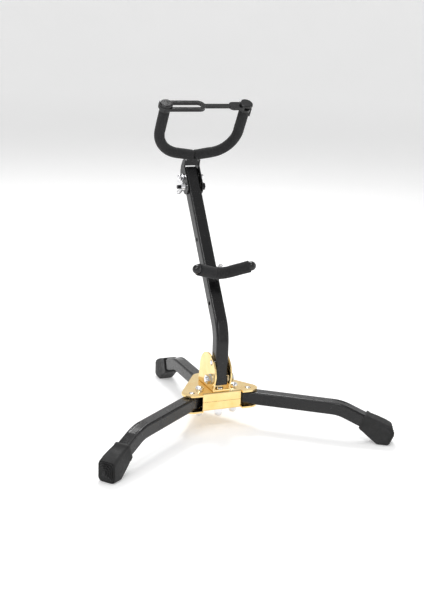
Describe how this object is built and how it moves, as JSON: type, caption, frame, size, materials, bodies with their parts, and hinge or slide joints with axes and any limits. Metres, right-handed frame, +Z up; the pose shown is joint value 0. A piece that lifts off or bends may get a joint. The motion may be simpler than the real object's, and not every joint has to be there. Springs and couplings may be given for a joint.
{
  "type": "saxophone stand",
  "caption": "Folding tripod floor stand for a saxophone: leaning square post in a flat hub, padded V cradle and padded U yoke with a swinging safety strap.",
  "frame": {"origin": "middle of the bounding box's footprint, on the floor", "axes": "+Z up, +Y towards the back leg, +X to the right of a player facing the back leg"},
  "size_m": [0.4578, 0.4086, 0.4894],
  "materials": {
    "black_paint": "satin-gloss black powder paint",
    "gold_plate": "bright yellow plated steel sheet",
    "chrome": "bright plated steel",
    "black_bolt": "black oxide bolt",
    "zinc": "plain zinc-plated steel",
    "rubber": "matte black ribbed rubber",
    "foam": "matte closed-cell foam, fine grain",
    "black_plastic": "satin black moulded plastic",
    "nylon": "natural nylon"
  },
  "bodies": {
    "hub": {"hub_top_plate": "gold_plate", "hub_bottom_plate": "gold_plate", "post_bracket": "gold_plate", "back_leg": "black_paint", "back_foot": "rubber", "leg_pivot_bolts": "chrome", "hub_centre_bolt": "chrome", "hub_acorn_nuts": "chrome", "leg_spacers": "nylon", "back_leg_spacers": "nylon", "back_leg_rivet": "chrome", "post_pivot_washers": "zinc", "post_pivot_nut": "chrome", "post_pivot_bolt": "chrome"},
    "left_leg": {"left_leg": "black_paint", "left_foot": "rubber"},
    "right_leg": {"right_leg": "black_paint", "right_foot": "rubber"},
    "left_leg_button": {"left_leg_button": "chrome"},
    "right_leg_button": {"right_leg_button": "chrome"},
    "post": {"post": "black_paint", "post_plug": "black_plastic", "cradle_bolt": "black_bolt", "cradle_washers": "zinc", "yoke_pivot_stud": "zinc", "yoke_acorn_nuts": "chrome", "yoke_inner_washers": "nylon", "yoke_outer_washers": "zinc", "yoke_lock_bolt": "black_bolt", "yoke_lock_washer": "zinc"},
    "post_button": {"post_button": "chrome"},
    "cradle": {"cradle_bracket": "black_paint", "cradle_rod": "black_paint", "cradle_foam": "foam", "cradle_ball_plugs": "black_plastic"},
    "cradle_wing_nut": {"cradle_wing_nut": "chrome"},
    "yoke": {"yoke_bracket": "black_paint", "yoke_rod": "black_paint", "yoke_foam_left": "foam", "yoke_foam_right": "foam", "strap_pivot_cap": "black_plastic", "strap_catch_cap": "black_plastic"},
    "yoke_wing_nut": {"yoke_wing_nut": "chrome"},
    "strap_bush": {"strap_bush": "nylon"},
    "safety_strap": {"safety_strap": "black_plastic"}
  },
  "joints": [
    {"name": "left_leg_fold", "type": "hinge", "parent": "hub", "child": "left_leg", "pos_m": [-0.028, -0.04415, 0.047], "axis": [0, 0, -1], "range_deg": [0, 128]},
    {"name": "left_leg_button_press", "type": "slide", "parent": "left_leg", "child": "left_leg_button", "axis": [0, 0, -1], "range_m": [0, 0.004], "stiffness_N_per_m": 500, "deforming": ["left_leg_button"]},
    {"name": "right_leg_fold", "type": "hinge", "parent": "hub", "child": "right_leg", "pos_m": [0.028, -0.04415, 0.047], "axis": [0, 0, 1], "range_deg": [0, 128]},
    {"name": "right_leg_button_press", "type": "slide", "parent": "right_leg", "child": "right_leg_button", "axis": [0, 0, -1], "range_m": [0, 0.004], "stiffness_N_per_m": 500, "deforming": ["right_leg_button"]},
    {"name": "post_fold", "type": "hinge", "parent": "hub", "child": "post", "pos_m": [0, -0.05365, 0.079], "axis": [-1, 0, 0], "range_deg": [0, 65]},
    {"name": "post_button_press", "type": "slide", "parent": "post", "child": "post_button", "axis": [1, 0, 0], "range_m": [0, 0.004], "stiffness_N_per_m": 500, "deforming": ["post_button"]},
    {"name": "cradle_tilt", "type": "hinge", "parent": "post", "child": "cradle", "pos_m": [0, 0.00081, 0.23375], "axis": [-1, 0, 0], "range_deg": [-30, 80]},
    {"name": "cradle_wing_nut_turn", "type": "hinge", "parent": "post", "child": "cradle_wing_nut", "pos_m": [0.016, 0.00081, 0.23375], "axis": [1, 0, 0], "continuous": true},
    {"name": "yoke_tilt", "type": "hinge", "parent": "post", "child": "yoke", "pos_m": [0, 0.0895, 0.36523], "axis": [-1, 0, 0], "range_deg": [-12, 12]},
    {"name": "yoke_wing_nut_turn", "type": "hinge", "parent": "post", "child": "yoke_wing_nut", "pos_m": [-0.016, 0.08, 0.35114], "axis": [-1, 0, 0], "continuous": true},
    {"name": "strap_swing", "type": "hinge", "parent": "yoke", "child": "strap_bush", "pos_m": [-0.0645, 0.03537, 0.47691], "axis": [0, -0.5075, 0.8616], "range_deg": [0, 150]},
    {"name": "strap_slide", "type": "slide", "parent": "strap_bush", "child": "safety_strap", "axis": [-1, 0, 0], "range_m": [0, 0.045]}
  ],
  "couplings": [
    {"joint": "left_leg_button_press", "follows": "left_leg_fold", "m_per_rad": 0.00179},
    {"joint": "right_leg_button_press", "follows": "right_leg_fold", "m_per_rad": 0.00179},
    {"joint": "post_button_press", "follows": "post_fold", "m_per_rad": 0.00352}
  ]
}
